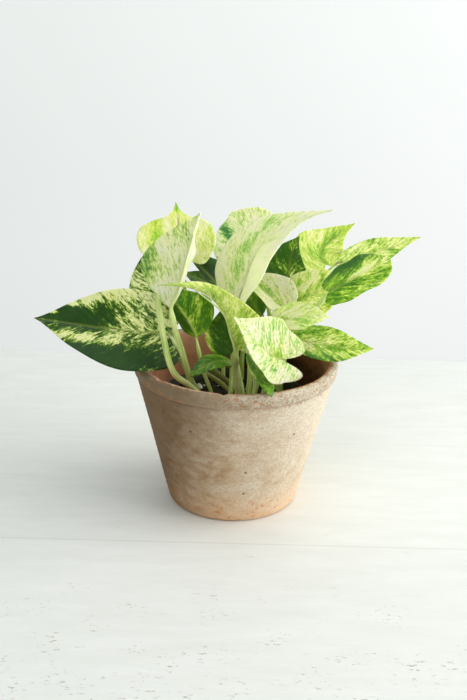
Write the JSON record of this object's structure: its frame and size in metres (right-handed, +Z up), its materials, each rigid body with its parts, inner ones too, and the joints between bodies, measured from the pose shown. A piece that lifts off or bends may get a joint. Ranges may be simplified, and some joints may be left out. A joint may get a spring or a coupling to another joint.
{
  "type": "potted snow queen pothos",
  "caption": "Free-standing potted house plant: heart-shaped, cream and green marbled leaves on long stalks in a tapered, collared terracotta pot.",
  "frame": {"origin": "on the floor, under the pot's axis, which is the middle of the part's bounding box seen from above", "axes": "+Z up along the pot's axis, -Y towards the side the picture shows, +X to its right"},
  "size_m": [0.2521, 0.1525, 0.208],
  "materials": {
    "terracotta": "aged, lime-washed fired clay",
    "black_plastic": "satin moulded plastic",
    "potting_mix": "loose moist peat with perlite",
    "leaf_pale": "waxy leaf, cream with green flecks",
    "leaf_green": "waxy leaf, green and cream marbled",
    "leaf_dark": "waxy leaf, dark green with cream marbling",
    "vine": "fleshy stem"
  },
  "bodies": {
    "root": {"terracotta_pot": "terracotta", "nursery_pot": "black_plastic", "potting_mix": "potting_mix", "leaf_left_large": "leaf_dark", "leaf_left_pointed": "leaf_pale", "leaf_front_curled": "leaf_green", "leaf_front_white": "leaf_pale", "leaf_right_low": "leaf_green", "leaf_tall_pale": "leaf_pale", "leaf_top_back": "leaf_pale", "leaf_middle_dark": "leaf_dark", "leaf_right_top": "leaf_green", "leaf_right_long": "leaf_green", "leaf_right_broad": "leaf_green", "leaf_right_middle": "leaf_green", "leaf_left_striped": "leaf_green", "leaf_left_back": "leaf_green", "leaf_left_arched": "leaf_green", "leaf_inner_dark": "leaf_dark", "leaf_cream_small": "leaf_pale", "leaf_middle_small": "leaf_green", "leaf_olive_small": "leaf_green", "leaf_inner_left": "leaf_green", "leaf_rim_small": "leaf_dark", "leaf_front_narrow": "leaf_dark", "leaf_back_left_narrow": "leaf_green", "leaf_rear_left": "leaf_green", "leaf_rear_middle": "leaf_green", "leaf_rear_right": "leaf_green", "leaf_rear_low": "leaf_green", "vine_stem_upper": "vine", "vine_stem_lower": "vine"}
  },
  "joints": []
}
